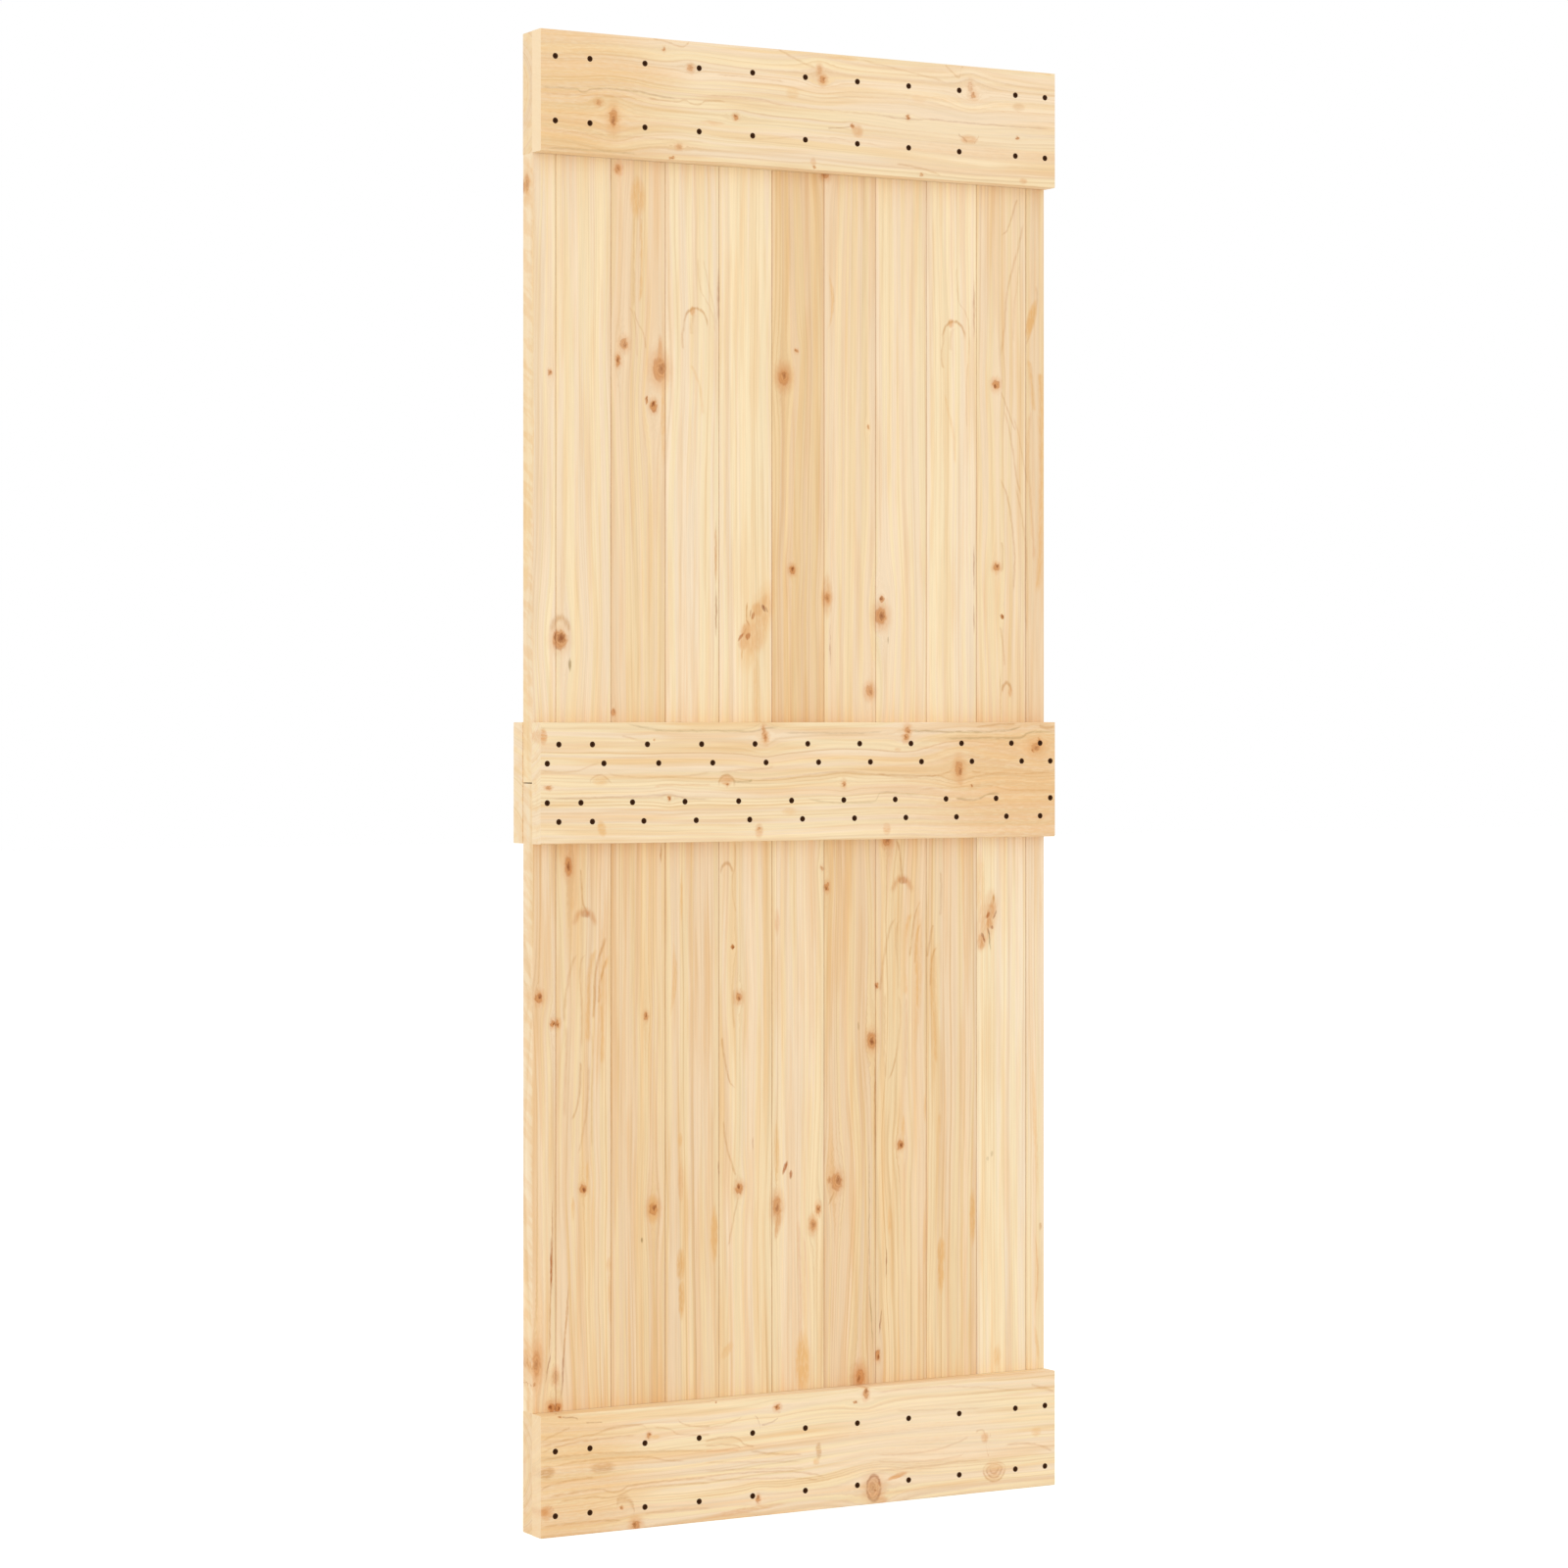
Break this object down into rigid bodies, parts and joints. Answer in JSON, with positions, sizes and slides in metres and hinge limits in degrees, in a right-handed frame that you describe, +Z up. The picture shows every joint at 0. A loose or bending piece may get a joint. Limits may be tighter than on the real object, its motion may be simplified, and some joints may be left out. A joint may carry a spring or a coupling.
{
  "type": "sliding door leaf",
  "caption": "Pine board-and-ledge sliding door leaf, tongued boards between top and bottom rails, with screwed ledges across it.",
  "frame": {"origin": "centre of the top ledge's front face, where the hanger straps are bolted on", "axes": "+X along the door's width, to the right seen from the front; +Y from the front towards the back; +Z up"},
  "size_m": [0.85, 0.087, 2.1],
  "materials": {
    "board_pine": "planed bare pine",
    "rail_pine": "planed bare pine",
    "ledge_pine": "planed bare pine",
    "screw_black": "black phosphated screw heads"
  },
  "bodies": {
    "root": {"upper_board_01": "board_pine", "upper_board_02": "board_pine", "upper_board_03": "board_pine", "upper_board_04": "board_pine", "upper_board_05": "board_pine", "upper_board_06": "board_pine", "upper_board_07": "board_pine", "upper_board_08": "board_pine", "upper_board_09": "board_pine", "upper_board_10": "board_pine", "upper_board_11": "board_pine", "lower_board_01": "board_pine", "lower_board_02": "board_pine", "lower_board_03": "board_pine", "lower_board_04": "board_pine", "lower_board_05": "board_pine", "lower_board_06": "board_pine", "lower_board_07": "board_pine", "lower_board_08": "board_pine", "lower_board_09": "board_pine", "lower_board_10": "board_pine", "lower_board_11": "board_pine", "top_rail": "rail_pine", "bottom_rail": "rail_pine", "top_ledge": "ledge_pine", "middle_ledge_front": "ledge_pine", "middle_ledge_back": "ledge_pine", "bottom_ledge": "ledge_pine"}
  },
  "joints": []
}
